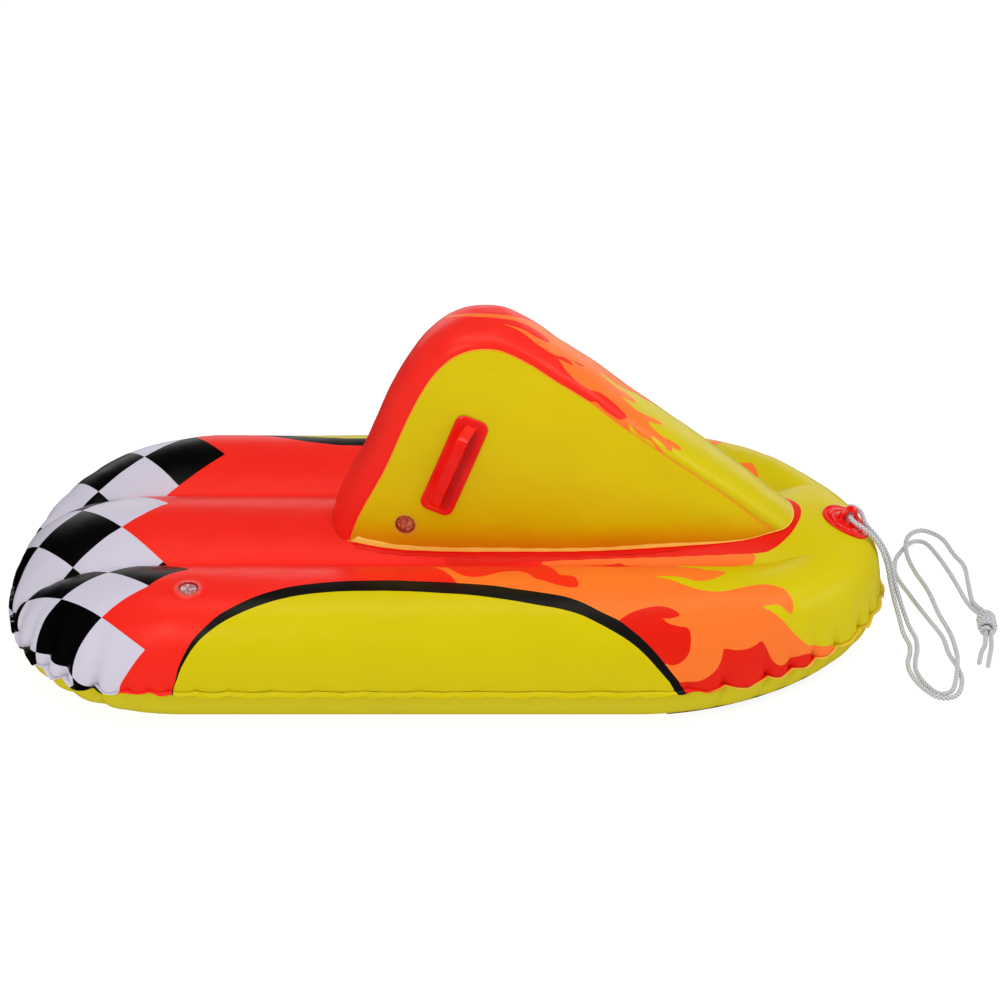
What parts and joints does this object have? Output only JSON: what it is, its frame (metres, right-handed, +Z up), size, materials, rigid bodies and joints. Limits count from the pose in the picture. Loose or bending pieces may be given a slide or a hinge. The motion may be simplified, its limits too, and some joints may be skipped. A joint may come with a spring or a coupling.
{
  "type": "inflatable snow sled",
  "caption": "Inflatable snow sled: a lobed air hull with a wedge-shaped console, moulded side grab handles, push-in air valves, a nose tow fitting and a knotted tow rope.",
  "frame": {"origin": "on the floor under the middle of the hull", "axes": "+X towards the nose, +Y towards the rider's left hand, +Z up"},
  "size_m": [1.2516, 0.512, 0.4406],
  "materials": {
    "red_sheet": "printed sheet, satin gloss",
    "yellow_sheet": "sheet, satin gloss",
    "clear_sheet": "clear soft moulding",
    "web_sheet": "plain sheet",
    "red_moulding": "moulded, gloss",
    "black_strip": "matt",
    "white_rope": "braided cord"
  },
  "bodies": {
    "sled": {"hull_top_sheet": "red_sheet", "hull_bottom_sheet": "yellow_sheet", "hull_web_left": "web_sheet", "hull_web_right": "web_sheet", "nose_rub_strip": "black_strip", "console_left_panel": "yellow_sheet", "console_right_panel": "yellow_sheet", "console_band": "red_sheet", "console_base_flange": "yellow_sheet", "handle_left": "red_moulding", "handle_right": "red_moulding", "hull_valve_body": "clear_sheet", "console_valve_body": "clear_sheet", "tow_fitting": "red_moulding", "rope_strand_a": "white_rope", "rope_strand_b": "white_rope", "rope_tail_a": "white_rope", "rope_tail_b": "white_rope", "rope_knot": "white_rope"},
    "hull_valve_stem_body": {"hull_valve_stem": "clear_sheet"},
    "hull_valve_plug_body": {"hull_valve_plug": "clear_sheet"},
    "hull_valve_flap_body": {"hull_valve_flap": "clear_sheet"},
    "console_valve_stem_body": {"console_valve_stem": "clear_sheet"},
    "console_valve_plug_body": {"console_valve_plug": "clear_sheet"},
    "console_valve_flap_body": {"console_valve_flap": "clear_sheet"}
  },
  "joints": [
    {"name": "hull_valve_stem_slide", "type": "slide", "parent": "sled", "child": "hull_valve_stem_body", "axis": [0, -0.107, 0.9943], "range_m": [0, 0.012]},
    {"name": "hull_valve_plug_slide", "type": "slide", "parent": "hull_valve_stem_body", "child": "hull_valve_plug_body", "axis": [0, -0.107, 0.9943], "range_m": [0, 0.009]},
    {"name": "hull_valve_flap_hinge", "type": "hinge", "parent": "hull_valve_stem_body", "child": "hull_valve_flap_body", "pos_m": [-0.3022, -0.17689, 0.13086], "axis": [0, -0.9943, -0.107], "range_deg": [0, 45], "stiffness_Nm_per_rad": 0.001, "springref_deg": -8.59},
    {"name": "console_valve_stem_slide", "type": "slide", "parent": "sled", "child": "console_valve_stem_body", "axis": [-0.1355, -0.9906, 0.0206], "range_m": [0, 0.012]},
    {"name": "console_valve_plug_slide", "type": "slide", "parent": "console_valve_stem_body", "child": "console_valve_plug_body", "axis": [-0.1355, -0.9906, 0.0206], "range_m": [0, 0.009]},
    {"name": "console_valve_flap_hinge", "type": "hinge", "parent": "console_valve_stem_body", "child": "console_valve_flap_body", "pos_m": [-0.03749, -0.03973, 0.18439], "axis": [0, -0.0208, -0.9998], "range_deg": [0, 45], "stiffness_Nm_per_rad": 0.001, "springref_deg": -8.59}
  ]
}
